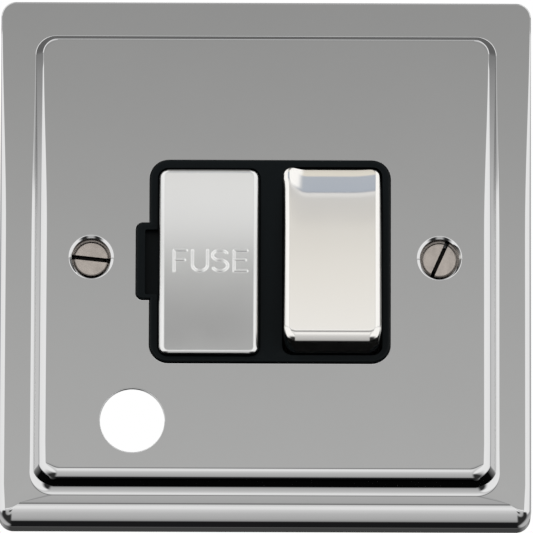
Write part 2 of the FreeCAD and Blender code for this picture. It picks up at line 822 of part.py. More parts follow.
def back_panel():
    """Shallow recess in the back, between the two rows of terminals."""
    high = top_row - back_margin
    low = insert_z - fuse_room + back_margin
    width = right_wall - left_wall - 2 * back_margin
    return slab(width, high - low, back_corner, housing_back - back_recess, housing_back + 1,
                insert_x, (high + low) / 2)


def terminal_pocket(x, z, way):
    """Pocket open to the back, with a round-bottomed slot for the conductors in the outer wall."""
    z0, z1 = terminal_span(z, way, seat_gap)
    half = terminal_width / 2 + seat_gap
    floor = terminal_top() - terminal_depth - seat_gap
    pocket = block(x - half, x + half, floor, housing_back + 1, z0, z1)
    ends = sorted((z + way * terminal_height, z + way * (terminal_height + wall + 2)))
    room = terminal_bore / 2 + entry_gap
    round_end = rod_z(x, terminal_bore_y(), room, ends[0], ends[1])
    slot = block(x - room, x + room, terminal_bore_y(), housing_back + 1, ends[0], ends[1])
    return pocket.fuse([round_end, slot])


def strap_level(ear):
    """Height band along z of the earth strap at one ear."""
    return ears[ear][1] - strap_width / 2, ears[ear][1] + strap_width / 2


def strap_tongue():
    """Front and back of the tongue that meets the terminal."""
    front = terminal_top() - terminal_depth + strap_rise
    return front, front + strap_sheet


def strap_room(ear):
    z0, z1 = strap_level(ear)
    y0, y1 = strap_tongue()
    terminal_x = top_terminals[0] if ear == 0 else bottom_terminals[2]
    wall_x = left_wall if ear == 0 else right_wall
    ends = sorted((terminal_x, wall_x + (1 if wall_x > 0 else -1)))
    return block(ends[0], ends[1], y0 - seat_gap, y1 + seat_gap, z0 - seat_gap, z1 + seat_gap)


def earth_strap(ear):
    """Bent strip from a terminal, out through the wall and onto the ear under its screw."""
    x, z = ears[ear]
    z0, z1 = strap_level(ear)
    seat = housing_front + ear_thickness
    y0, y1 = strap_tongue()
    way = -1 if ear == 0 else 1
    wall_x = left_wall if ear == 0 else right_wall
    block_x = (top_terminals[0] if ear == 0 else bottom_terminals[2]) + way * terminal_width / 2
    near = wall_x + way * strap_gap
    outer = near + way * strap_sheet
    outside = sorted((near, outer))
    ring = rod_y(x, z, housing_head / 2 + strap_ring, seat, seat + strap_sheet)
    lead = sorted((x, near))
    tail = sorted((block_x, outer))
    parts = [
        block(lead[0], lead[1], seat, seat + strap_sheet, z0, z1),
        block(outside[0], outside[1], seat, y1, z0, z1),
        block(tail[0], tail[1], y0, y1, z0, z1),
    ]
    strap = joined(ring, *parts)
    return strap.cut(rod_y(x, z, housing_screw / 2 + screw_gap, seat - 1, seat + strap_sheet + 1))


def housing_screws():
    seat = housing_front + ear_thickness
    screws = []
    for count, (x, z) in enumerate(ears):
        lift = strap_sheet if count in (0, 3) else 0
        screws.append(slotted_screw(x, z, housing_head, housing_head_depth, housing_screw,
                                    seat + lift, panel_back + screw_end, 20 + 65 * count))
    return Part.makeCompound(screws)


def grip_axis():
    return grip_level() + grip_gap / 2


def cord_clamp_bar():
    """Bar with an arch over the flex and a foot at each screw."""
    level = grip_level() + grip_gap
    x0 = grip_x - grip_bar_width / 2
    x1 = grip_x + grip_bar_width / 2
    length = grip_pitch + 2 * (grip_foot + grip_clear / 2)
    feet = block(x0, x1, level, level + grip_bar_sheet, grip_z - length / 2, grip_z + length / 2)
    feet = feet.makeFillet(grip_bar_corner, [e for e in feet.Edges if e.BoundBox.YLength > 1])
    arch = rod_x(grip_axis(), grip_z, flex_diameter / 2 + grip_arch, x0, x1)
    arch = arch.common(block(x0, x1, level, level + far, grip_z - far, grip_z + far))
    bar = joined(feet, arch)
    bar = bar.cut(rod_x(grip_axis(), grip_z, flex_diameter / 2, x0 - 1, x1 + 1))
    for side in (-1, 1):
        bar = bar.cut(rod_y(grip_x, grip_z + side * grip_pitch / 2, housing_screw / 2 + screw_gap,
                            level - 1, level + grip_bar_sheet + 1))
    return bar


def cord_clamp_screws():
    seat = grip_level() + grip_gap + grip_bar_sheet
    screws = []
    for side in (-1, 1):
        screws.append(slotted_screw(grip_x, grip_z + side * grip_pitch / 2, grip_head, housing_head_depth,
                                    housing_screw, seat, housing_front + ledge_floor, 15 + 40 * side))
    return Part.makeCompound(screws)


def fixing_screw(side):
    """Countersunk machine screw with one slot, its flat face a little below the panel."""
    x = side * fixing_spacing / 2
    face = panel_face + dish_depth
    root = face + fixing_head_depth
    head = fixing_head / 2
    thread = fixing_thread / 2
    neck = fixing_neck / 2
    start = root + plate_sheet + fixing_neck_past
    end = face + fixing_length
    profile = [(0, face), (head - fixing_head_edge, face), (head, face + fixing_head_edge),
               (neck, root - seat_gap), (neck, start), (thread, start + thread - neck),
               (thread, end - fixing_tip), (thread - fixing_tip, end), (0, end)]
    screw = turned(profile, x, 0)
    slot = block(x - head - 1, x + head + 1, face - 1, face + slot_depth, -slot_width / 2, slot_width / 2)
    slot.rotate(v(x, 0, 0), v(0, 1, 0), -slot_angles[0 if side < 0 else 1])
    return screw.cut(slot)


def build():
    barrel, end_caps = fuse_parts()
    nodes = {
        "front_plate": front_plate(),
        "plate_bosses": plate_bosses(),
        "insert_bezel": insert_bezel(),
        "rear_housing": rear_housing(),
        "fuse_carrier_cap": fuse_carrier_cap(),
        "fuse_carrier": fuse_carrier(),
        "fuse_barrel": barrel,
        "fuse_cap_upper": end_caps[0],
        "fuse_cap_lower": end_caps[1],
        "fuse_clip_upper": fuse_clip(1),
        "fuse_clip_lower": fuse_clip(-1),
        "rocker_cap": rocker_cap(),
        "rocker_body": rocker_body(),
        "supply_live_contact": supply_contact(0),
        "supply_neutral_contact": supply_contact(1),
        "live_link": joined(live_strips(), fulcrum(pole_xs[0])),
        "neutral_link": joined(neutral_strips(), fulcrum(pole_xs[1])),
        "load_live_link": load_live_strips(),
        "terminal_screws": terminal_screws(),
        "earth_strap_supply": earth_strap(0),
        "earth_strap_load": earth_strap(3),
        "housing_screws": housing_screws(),
        "cord_clamp_bar": cord_clamp_bar(),
        "cord_clamp_screws": cord_clamp_screws(),
        "fixing_screw_left": fixing_screw(-1),
        "fixing_screw_right": fixing_screw(1),
    }
    for name, x in zip(("live", "neutral"), pole_xs):
        nodes["plunger_" + name] = plunger(x)
        nodes["plunger_spring_" + name] = plunger_spring(x)
        nodes["contact_arm_" + name] = contact_arm(x)
    for name, x, z, way in terminal_places():
        nodes["terminal_" + name] = terminal(x, z, way)
    return nodes


os.makedirs("parts", exist_ok=True)
for node, shape in build().items():
    shape.exportStep("parts/" + node + ".step")
    print(node, len(shape.Solids), round(shape.Volume, 2), shape.isValid())
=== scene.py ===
import math

import bmesh
import bpy
import numpy as np
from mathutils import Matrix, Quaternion, Vector, geometry


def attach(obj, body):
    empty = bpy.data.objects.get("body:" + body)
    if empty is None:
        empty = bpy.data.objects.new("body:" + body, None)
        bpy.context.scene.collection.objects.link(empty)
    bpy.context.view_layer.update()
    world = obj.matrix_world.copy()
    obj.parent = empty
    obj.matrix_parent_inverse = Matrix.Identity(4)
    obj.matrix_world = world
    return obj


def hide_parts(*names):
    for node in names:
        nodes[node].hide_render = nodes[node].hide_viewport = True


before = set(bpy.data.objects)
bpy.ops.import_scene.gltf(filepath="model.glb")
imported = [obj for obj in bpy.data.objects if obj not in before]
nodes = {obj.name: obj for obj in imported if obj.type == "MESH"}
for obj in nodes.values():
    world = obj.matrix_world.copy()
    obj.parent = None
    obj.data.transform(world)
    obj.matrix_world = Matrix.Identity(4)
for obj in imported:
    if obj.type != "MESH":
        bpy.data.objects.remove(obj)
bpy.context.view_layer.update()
print("frame loaded", len(nodes))

# All sizes below are in millimetres in the CAD's frame: X to the right, Y into the wall, Z up.
mm = 0.001
weldDistance = 1e-6  # metres
leastEdge = 1e-7  # metres
cutDistance = 1e-6  # millimetres: nearer points become one in a flat face
tiny = 1e-9  # keeps a divisor off zero
aroundCount = 96  # points round a turned form


# Points on an arc: centre plus radius times the cosine and sine of each angle, in degrees.
def arc(x, z, radius, first, last, count):
    angles = np.radians(np.linspace(first, last, count))
    return np.stack([x + radius * np.cos(angles), z + radius * np.sin(angles)], axis=1)


# Rounded rectangle with an optional tab on its left side. Sides are cut into equal steps between
# the arcs' ends, so outlines of any size have the same number of points. A tab with no reach adds
# its points alone, for rings that have to match.
def outline(halfX, halfZ, corner, x, z, reach=0.0, tabHalf=0.0, tabCorner=0.0, side=8, turn=10):
    left = x - halfX
    bend = min(tabCorner, reach)
    runs = [
        arc(x + halfX - corner, z + halfZ - corner, corner, 0, 90, turn),
        arc(left + corner, z + halfZ - corner, corner, 90, 180, turn),
    ]
    if tabHalf:
        runs += [
            np.array([[left, z + tabHalf]]),
            arc(left - reach + bend, z + tabHalf - bend, bend, 90, 180, turn),
            arc(left - reach + bend, z - tabHalf + bend, bend, 180, 270, turn),
            np.array([[left, z - tabHalf]]),
        ]
    runs += [
        arc(left + corner, z - halfZ + corner, corner, 180, 270, turn),
        arc(x + halfX - corner, z - halfZ + corner, corner, 270, 360, turn),
    ]
    steps = np.linspace(0, 1, side + 1)[1:-1, None]
    points = []
    for place, run in enumerate(runs):
        following = runs[(place + 1) % len(runs)][0]
        points += [run, run[-1] + (following - run[-1]) * steps]
    return np.concatenate(points)


# A flat outline lifted to the depth y.
def raised(points, y):
    return np.stack([points[:, 0], np.full(len(points), y), points[:, 1]], axis=1)


# Quads between rings of equal length, each ring closed on itself.
def bands(rings):
    count = len(rings[0])
    here = np.arange(count)
    after = (here + 1) % count
    quads = []
    for row in range(len(rings) - 1):
        a, b = row * count, (row + 1) * count
        quads.append(np.stack([a + here, a + after, b + after, b + here], axis=1))
    return np.concatenate(rings), np.concatenate(quads)


unitCircle = arc(0, 0, 1, 0, 360, aroundCount + 1)[:-1]


# Profile of radius and depth turned about the Y axis through x and z: each ring is the unit
# circle times the radius, moved to its place.
def turned(profile, x, z):
    return bands([raised(unitCircle * radius + (x, z), y) for radius, y in profile])


# Even-odd test of points against a closed loop: counts the loop's sides to the right of each point.
def inside(points, loop):
    x, z = points[:, 0, None], points[:, 1, None]
    a, b = loop, np.roll(loop, -1, axis=0)
    crosses = (a[:, 1] > z) != (b[:, 1] > z)
    rise = np.where(b[:, 1] == a[:, 1], tiny, b[:, 1] - a[:, 1])
    meets = a[:, 0] + (z - a[:, 1]) * (b[:, 0] - a[:, 0]) / rise
    return (crosses & (x < meets)).sum(axis=1) % 2 == 1


# Flat face at depth y inside the outer outline and outside the holes, by constrained triangles.
def flatSheet(outer, holes, y):
    points, edges = [], []
    for loop in [outer] + holes:
        start = len(points)
        points += [Vector(p) for p in loop]
        edges += [(start + k, start + (k + 1) % len(loop)) for k in range(len(loop))]
    found = geometry.delaunay_2d_cdt(points, edges, [], 1, cutDistance)
    flat = np.array([[p[0], p[1]] for p in found[0]])
    faces = np.array([list(face) for face in found[2]])
    middles = flat[faces].mean(axis=1)
    kept = inside(middles, outer)
    for hole in holes:
        kept &= ~inside(middles, hole)
    return raised(flat, y), faces[kept]


# Quarter round of a hole's edge: how far each step lies outside the hole and how deep.
def lip(radius, steps):
    angles = np.linspace(0, math.pi / 2, steps + 1)
    return [(radius * (1 - math.sin(a)), radius * (1 - math.cos(a))) for a in angles]


# Each corner's normal becomes the mean of its faces' normals weighted by area, so that flat faces
# stay flat up to their fillets.
def evenNormals(piece):
    weighted = piece.modifiers.new("weightedNormals", "WEIGHTED_NORMAL")
    weighted.keep_sharp = True


# Joins parts into one closed mesh, welds its seams, turns its faces outwards and puts it in the
# frame. Edges sharper than the given angle stay crisp.
def makePiece(name, parts, body, replaced, sharp=38):
    verts, faces, start = [], [], 0
    for points, polygons in parts:
        verts.append(points)
        faces += (polygons + start).tolist()
        start += len(points)
    mesh = bpy.data.meshes.new(name)
    mesh.from_pydata((np.concatenate(verts) * mm).tolist(), [], faces)
    form = bmesh.new()
    form.from_mesh(mesh)
    bmesh.ops.remove_doubles(form, verts=form.verts, dist=weldDistance)
    bmesh.ops.dissolve_degenerate(form, edges=form.edges, dist=leastEdge)
    bmesh.ops.recalc_face_normals(form, faces=form.faces)
    openEdges = sum(1 for edge in form.edges if len(edge.link_faces) != 2)
    form.to_mesh(mesh)
    form.free()
    mesh.shade_smooth()
    mesh.set_sharp_from_angle(angle=math.radians(sharp))
    piece = bpy.data.objects.new(name, mesh)
    bpy.context.scene.collection.objects.link(piece)
    evenNormals(piece)
    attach(piece, body)
    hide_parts(*replaced)
    print(name, "faces", len(mesh.polygons), "open edges", openEdges)
    return piece


plate = {
    "size": 92.2, "corner": 2.6, "sheet": 1.0, "stand": 8.0, "face": -12.2, "rise": 4.2,
    "foot": 80.0, "footCorner": 3.4, "topCorner": 2.7, "leastRadius": 0.2, "leastCorner": 0.3,
    "sideForm": (1.2, 0.9, 1.6, 77.8), "upperForm": (0.2, 0.2, 0.22, 77.5),
    "lowerForm": (3.7, 1.8, 1.9, 76.4), "upperBlend": (0.1, 1.0), "lowerBlend": (0.93, 1.0),
    "edgeSteps": 15, "footSteps": 13, "crestSteps": 15, "rimStep": 0.05, "cuts": 20,
    "screwX": 30.15, "dish": 3.85, "dishEdge": 0.25, "dishSteps": 12, "waist": 3.42,
    "waistDepth": 0.38, "dishFloor": 3.2, "dishDepth": 1.6, "screwRoot": 1.9, "sinkDepth": 1.3,
    "outletX": -22.9, "outletZ": -28.7, "outletRadius": 5.6, "holeEdge": 0.1, "holeSteps": 5,
    "flatRing": 0.4, "holeRing": 0.08,
}
insert = {
    "x": 0.8, "z": -0.7, "halfX": 20.75, "halfZ": 17.8, "corner": 3.2, "face": -13.0, "gap": 0.1,
    "tabReach": 2.35, "tabHalf": 6.7, "tabCorner": 1.1, "leastTabCorner": 0.2, "edge": 0.4,
    "edgeSteps": 6, "windowEdge": 0.12, "windowSteps": 3, "flangeLeft": -23.3,
    "flangeRight": 23.0, "lip": 2.3, "flangeFace": -11.2, "back": -9.2,
}


# The insert's outline with its tab, grown by a margin on every side.
def insertOutline(grow):
    i = insert
    tabCorner = max(i["tabCorner"] + grow, i["leastTabCorner"])
    return outline(i["halfX"] + grow, i["halfZ"] + grow, i["corner"] + grow, i["x"], i["z"],
                   i["tabReach"], i["tabHalf"] + grow, tabCorner)


# Half width, depth and corner of the pressed skin from the rim to the panel, moved in by inset.
# The form holds the radii of the outer edge, the foot and the crest, and the panel's size. Fillets
# are arcs between the two slopes; the tangent is the radius times tan(half the turn).
def skinProfile(inset, form):
    p = plate
    outerRadius, footRadius, crestRadius, panelSize = form
    draft = math.atan((p["foot"] - panelSize) / 2 / p["rise"])
    bend = math.pi / 2 - draft
    step = inset * (1 / math.cos(draft) - math.tan(draft))
    flangeY, panelY = inset - p["stand"], inset + p["face"]
    outer, foot, top = p["size"] / 2 - inset, p["foot"] / 2 - step, panelSize / 2 - step
    outerCorner = p["corner"] - inset
    footCorner, topCorner = p["footCorner"] - step, p["topCorner"] - step
    lean = (footCorner - topCorner) / (foot - top)
    edge, crest = (max(radius - inset, p["leastRadius"]) for radius in (outerRadius, crestRadius))
    footArc = footRadius + inset
    rows = [(outer, 0.0, outerCorner), (outer, flangeY + edge + p["rimStep"], outerCorner)]
    for a in np.linspace(0, math.pi / 2, p["edgeSteps"]):
        half = outer - edge + edge * math.cos(a)
        rows.append((half, flangeY + edge - edge * math.sin(a), outerCorner - (outer - half)))
    reach = footArc * math.tan(bend / 2)
    for b in np.linspace(0, bend, p["footSteps"]):
        half = foot + reach - footArc * math.sin(b)
        corner = footCorner + (half - foot) * (1 if half > foot else lean)
        rows.append((half, flangeY - footArc + footArc * math.cos(b), corner))
    reach = crest * math.tan(bend / 2)
    for b in np.linspace(bend, 0, p["crestSteps"]):
        half = top - reach + crest * math.sin(b)
        corner = topCorner + (half - top) * (lean if half > top else 1)
        rows.append((half, panelY + crest - crest * math.cos(b), corner))
    half, depth, corner = rows[-1]  # a narrow flat ring keeps the panel's own normals exact
    rows.append((half - p["flatRing"], depth, corner - p["flatRing"]))
    return rows


# Rings of the skin, blended round the plate: the upper side has tight radii, the lower side wide
# ones. Each weight is a smooth step of the height as a share of the half height.
def skinRings(inset):
    p = plate

    def ringsOf(form):
        return np.array([raised(outline(half, half, max(corner, p["leastCorner"]), 0, 0,
                                        side=p["cuts"], turn=p["cuts"]), y)
                         for half, y, corner in skinProfile(inset, form)])

    sides, upper, lower = (ringsOf(p[form]) for form in ("sideForm", "upperForm", "lowerForm"))
    height = sides[0][:, 2] / sides[0][:, 2].max()
    blended = sides
    for sign, ends, (first, last) in ((1, upper, p["upperBlend"]), (-1, lower, p["lowerBlend"])):
        share = np.clip((sign * height - first) / (last - first), 0, 1)
        share = (share * share * (3 - 2 * share))[None, :, None]
        blended = blended * (1 - share) + ends * share
    return list(blended)


# The pressed plate: the skin's front and back rings joined at the rim, flat panels between the
# last rings and the holes, and a wall through the sheet at each hole. A dish is a profile of
# radius and depth turned about its screw; its rim's tangent is the radius times tan(half the turn).
def frontPlate():
    p, i = plate, insert
    front, back = skinRings(0), skinRings(p["sheet"])
    skin = bands(back[::-1] + front)
    panelBack = p["face"] + p["sheet"]
    edge, ring = p["holeEdge"], p["holeRing"]
    outlet = np.array([p["outletX"], p["outletZ"]])
    screws = [np.array([side * p["screwX"], 0]) for side in (-1, 1)]
    frontHoles = [insertOutline(i["gap"] + edge + ring),
                  unitCircle * (p["outletRadius"] + edge + ring) + outlet]
    backHoles = [insertOutline(i["gap"]), unitCircle * p["outletRadius"] + outlet]
    slope = math.atan2(p["dish"] - p["waist"], p["waistDepth"])
    dishEdge = p["dishEdge"]
    reach = dishEdge * math.tan((math.pi / 2 - slope) / 2)
    for place in screws:
        frontHoles.append(unitCircle * (p["dish"] + reach + ring) + place)
        backHoles.append(unitCircle * (p["dish"] + p["sheet"]) + place)
    parts = [skin,
             flatSheet(front[-1][:, [0, 2]], frontHoles, p["face"]),
             flatSheet(back[-1][:, [0, 2]], backHoles, panelBack)]
    opening = [raised(insertOutline(i["gap"] + edge + ring), p["face"])]
    opening += [raised(insertOutline(i["gap"] + out), p["face"] + deep)
                for out, deep in lip(edge, p["holeSteps"])]
    parts.append(bands(opening + [raised(insertOutline(i["gap"]), panelBack)]))
    wall = [(p["outletRadius"] + edge + ring, p["face"])]
    wall += [(p["outletRadius"] + out, p["face"] + deep) for out, deep in lip(edge, p["holeSteps"])]
    parts.append(turned(wall + [(p["outletRadius"], panelBack)], *outlet))
    seat = p["face"] + p["dishDepth"]
    sink = seat + p["sinkDepth"]
    root, floor, thick = p["screwRoot"], p["dishFloor"], p["sheet"]
    under = [(p["waist"], p["face"] + p["waistDepth"]), (floor, seat), (root, sink),
             (root, sink + thick), (root + thick, sink + thick), (floor + thick, seat + thick),
             (p["dish"] + thick, panelBack)]
    rim = [(p["dish"] + reach + ring, p["face"])]
    for a in np.linspace(0, math.pi / 2 - slope, p["dishSteps"]):
        rim.append((p["dish"] + reach - dishEdge * math.sin(a),
                    p["face"] + dishEdge - dishEdge * math.cos(a)))
    for place in screws:
        parts.append(turned(rim + under, *place))
    return makePiece("plateSkin", parts, "root", ["front_plate"])


window = {
    "x": -9.75, "z": -0.95, "halfX": 8.85, "halfZ": 16.55, "corner": 1.75, "neck": 0.75,
    "recessReach": 2.2, "recessHalf": 5.7, "recessCorner": 0.3, "recessFloor": -11.4,
    "neckCorner": 0.15, "neckY": -11.2,
}
rocker = {
    "x": 11.6, "z": -0.7, "halfX": 8.45, "halfZ": 16.1, "pivotY": -7.2, "swing": 17.4,
    "faceY": -15.9, "skirt": 4.3, "sheet": 0.7, "corner": 2.0, "edges": (1.15, 2.0, 0.65),
    "holeCorner": 1.65, "tilt": 7.0, "gap": 0.12, "sideGap": 0.16, "holeFrom": -12.4,
    "holeSteps": 6,
    "slopes": [(-16, -0.9), (-2, 0.0), (4, 0.6), (9.6, 2.6), (10.6, 5.0), (11.5, 10.5),
               (13.8, 11.5), (14.3, 16.5), (17, 21)],
    "slopeHeights": (-18, 20, 1521),
    "bendLeft": (4.4, 3, 2.3), "bendRight": (3.0, 5, 0.5), "bendRise": (4, 6),
    "rowEnds": (0.94, 7), "rowsBelow": 30, "rowsAbove": 70, "rowSplit": 0.3,
    "columnEnds": (0.94, 5), "columns": 41,
}


# The drum's half height at a depth: the root of the swing squared less the square of the depth
# from the pivot.
def drumHalf(y, grow=0.0):
    return np.sqrt((rocker["swing"] + grow) ** 2 - (y - rocker["pivotY"]) ** 2)


# The insert: rounded outlines stacked from the face to the back, outside and in both windows,
# with flat faces between them. The rocker's window follows the drum.
def insertBezel():
    i, w, r = insert, window, rocker

    def windowOutline(grow, reach):
        return outline(w["halfX"] + grow, w["halfZ"] + grow, w["corner"] + grow, w["x"], w["z"],
                       reach, w["recessHalf"] + grow, w["recessCorner"])

    def drumOutline(y, grow):
        return outline(r["halfX"] + r["sideGap"] + grow, drumHalf(y, r["gap"]) + grow,
                       r["holeCorner"] + grow, r["x"], r["z"])

    middle = (i["flangeLeft"] + i["flangeRight"]) / 2
    flange = outline((i["flangeRight"] - i["flangeLeft"]) / 2, i["halfZ"] + i["lip"], i["corner"],
                     middle, i["z"], 0.0, i["tabHalf"], 0.0)
    outer = [raised(insertOutline(-out), i["face"] + deep)
             for out, deep in lip(i["edge"], i["edgeSteps"])]
    outer += [raised(insertOutline(0), i["flangeFace"]), raised(flange, i["flangeFace"]),
              raised(flange, i["back"])]
    rounded = [(out, i["face"] + deep) for out, deep in lip(i["windowEdge"], i["windowSteps"])]
    neck = outline(w["halfX"] - w["neck"], w["halfZ"] - w["neck"], w["corner"] - w["neckCorner"],
                   w["x"], w["z"], 0.0, w["recessHalf"], 0.0)
    fuse = [raised(windowOutline(out, w["recessReach"]), y) for out, y in rounded]
    fuse += [raised(windowOutline(0, w["recessReach"]), w["recessFloor"]),
             raised(windowOutline(0, 0.0), w["recessFloor"]),
             raised(windowOutline(0, 0.0), w["neckY"]),
             raised(neck, w["neckY"]), raised(neck, i["back"])]
    drum = [raised(drumOutline(y, out), y) for out, y in rounded]
    drum += [raised(drumOutline(y, 0), y)
             for y in np.linspace(r["holeFrom"], i["back"], r["holeSteps"])]
    parts = [bands(outer), bands(fuse), bands(drum)]
    for ring, depth in ((0, i["face"]), (-1, i["back"])):
        around, first, second = (rings[ring][:, [0, 2]] for rings in (outer, fuse, drum))
        parts.append(flatSheet(around, [first, second], depth))
    return makePiece("insertMoulding", parts, "root", ["insert_bezel"])


fuseCap = {
    "x": -9.75, "z": -0.95, "halfX": 8.7, "halfZ": 16.4, "corner": 1.7, "edges": (1.1, 0.6, 0.9),
    "sheet": 0.6, "crest": -15.0, "radius": 186.0, "crestBelow": 2.6, "acrossRadius": 420.0,
    "back": -11.3, "rowEnds": (0.93, 8), "rowsBelow": 14, "rowsLetters": 76, "rowsAbove": 20,
    "columns": 211, "letterLow": -3.08, "letterHigh": 0.95, "letterHalf": 0.28,
    "letterInset": 0.2, "letterMargin": 0.7, "stampDepth": 0.15, "floorRound": 0.012,
    "rimPower": 1.15,
    "letters": [(-15.98, -13.46), (-12.8, -9.8), (-9.36, -6.3), (-5.6, -3.0)],
}


# Rows of points that fill a rounded rectangle: each row is as wide as the outline is there,
# so the grid's border follows the corners.
def plan(halfX, halfZ, corner, rows, columns):
    z = rows * halfZ
    over = np.clip(np.abs(z) - (halfZ - corner), 0, corner)
    half = halfX - corner + np.sqrt(np.maximum(corner ** 2 - over ** 2, 0))
    return half[:, None] * columns[None, :], np.repeat(z[:, None], len(columns), axis=1)


# The grid's border as row and column, once round from the first point.
def border(rowCount, columnCount):
    row, column = np.arange(rowCount), np.arange(columnCount)
    lastRow, lastColumn = rowCount - 1, columnCount - 1
    return np.concatenate([np.stack(np.broadcast_arrays(*side), axis=1) for side in (
        (0, column), (row[1:], lastColumn), (lastRow, column[-2::-1]), (row[-2:0:-1], 0))])


# What both pressed caps share: least sizes of their inner side, lengths over which slopes are
# measured, and steps of the fillet and the wall.
capForm = {"leastBend": 0.12, "leastEdge": 0.15, "leastCorner": 0.3, "probe": 0.02,
           "wallProbe": 0.5, "edgeSteps": 15, "wallSteps": 9}


# A pressed cap: a grid over its top, a fillet swept round the border and a wall down to the back.
# The fillet turns about each border point from the top's slope to the wall's lean; its radius
# goes from the sides' to the ends' with the square of the direction's Z part.
def capSurface(halfX, halfZ, corner, edges, grid, depth, wallHalf, back):
    rows, columns = grid
    side, lower, upper = edges
    bend = max(corner - side, capForm["leastBend"])
    px, pz = plan(halfX - side, halfZ - (lower + upper) / 2, bend, rows, columns)
    pz = pz + (lower - upper) / 2
    top = np.stack([px, depth(px, pz), pz], axis=2)
    index = np.arange(px.size).reshape(px.shape)
    quads = np.stack([index[:-1, :-1], index[:-1, 1:], index[1:, 1:], index[1:, :-1]], axis=2)
    loop = border(*px.shape)
    rim = top[loop[:, 0], loop[:, 1]]
    straight = halfX - side - bend
    corners = np.clip(rim[:, [0, 2]], [-straight, pz.min() + bend], [straight, pz.max() - bend])
    out = rim[:, [0, 2]] - corners
    out = out / np.maximum(np.linalg.norm(out, axis=1, keepdims=True), tiny)
    edge = side * out[:, 0] ** 2 + np.where(out[:, 1] < 0, lower, upper) * out[:, 1] ** 2
    probe, step = capForm["probe"], capForm["wallProbe"]
    inner = depth(rim[:, 0] - out[:, 0] * probe, rim[:, 2] - out[:, 1] * probe)
    first = np.arctan2(rim[:, 1] - inner, probe)
    foot = rim[:, 1] + edge
    lean = np.arctan2(wallHalf(foot + step) - wallHalf(foot), step)
    last = math.pi / 2 - lean * np.abs(out[:, 1])
    rings = []
    for share in np.linspace(0, 1, capForm["edgeSteps"])[1:]:
        a = first + (last - first) * share
        away = edge * (np.sin(a) - np.sin(first))
        down = edge * (np.cos(first) - np.cos(a))
        rings.append(np.stack([rim[:, 0] + out[:, 0] * away, rim[:, 1] + down,
                               rim[:, 2] + out[:, 1] * away], axis=1))
    end = rings[-1]
    for share in np.linspace(0, 1, capForm["wallSteps"])[1:]:
        y = end[:, 1] + (back - end[:, 1]) * share
        spread = (wallHalf(y) - wallHalf(end[:, 1])) * out[:, 1]
        rings.append(np.stack([end[:, 0], y, end[:, 2] + spread], axis=1))
    return (top.reshape(-1, 3), quads.reshape(-1, 4)), [rim] + rings


# Outer and inner surface of a cap joined at the back, then moved to its place.
def capParts(c, grid, outerDepth, innerDepth, wallHalf, back):
    sheet = c["sheet"]
    within = [max(edge - sheet, capForm["leastEdge"]) for edge in c["edges"]]
    outerTop, outerRings = capSurface(c["halfX"], c["halfZ"], c["corner"], c["edges"], grid,
                                      outerDepth, wallHalf, back)
    innerTop, innerRings = capSurface(c["halfX"] - sheet, c["halfZ"] - sheet,
                                      max(c["corner"] - sheet, capForm["leastCorner"]), within,
                                      grid, innerDepth, wallHalf, back)
    parts = [outerTop, innerTop, bands(outerRings + innerRings[::-1])]
    return [(points + (c["x"], 0, c["z"]), faces) for points, faces in parts]


# Stretches of evenly spaced values that share their ends, given as each one's end and count.
def spaced(first, *stretches):
    values = [np.array([first])]
    for last, count in stretches:
        values.append(np.linspace(values[-1][-1], last, count)[1:])
    return np.concatenate(values)


# Centre lines of the letters in a unit box: straight runs, and bows for the round letters, each
# with its angles, count, middle and half height; its points are middle plus half size times the
# cosine and sine.
def letterRuns():
    def bow(first, last, count, middle, half):
        a = np.radians(np.linspace(first, last, count))
        return np.stack([0.5 + 0.5 * np.cos(a), middle + half * np.sin(a)], axis=1)

    f = [np.array([[0, 0], [0, 1], [1, 1]]), np.array([[0, 0.53], [0.85, 0.53]])]
    u = [np.concatenate([[[0, 1]], bow(180, 360, 25, 0.3, 0.3), [[1, 1]]])]
    s = [np.concatenate([bow(30, 270, 22, 0.76, 0.24), bow(90, -150, 22, 0.26, 0.26)])]
    e = [np.array([[1, 1], [0, 1], [0, 0], [1, 0]]), np.array([[0, 0.53], [0.88, 0.53]])]
    return [f, u, s, e]


# Least distance from each grid point to the letters' centre lines: for each run's stretch, the
# distance to the nearest of its points.
def letterDistance(x, z):
    c = fuseCap
    inset = c["letterInset"]
    low, high = c["letterLow"] + inset, c["letterHigh"] - inset
    nearest = np.full(x.shape, np.inf)
    for (left, right), runs in zip(c["letters"], letterRuns()):
        for run in runs:
            line = run * (right - left - 2 * inset, high - low) + (left + inset, low)
            for a, b in zip(line[:-1], line[1:]):
                d = b - a
                along = ((x - a[0]) * d[0] + (z - a[1]) * d[1]) / max(d @ d, tiny)
                along = np.clip(along, 0, 1)
                reach = np.hypot(x - a[0] - along * d[0], z - a[1] - along * d[1])
                nearest = np.minimum(nearest, reach)
    return nearest


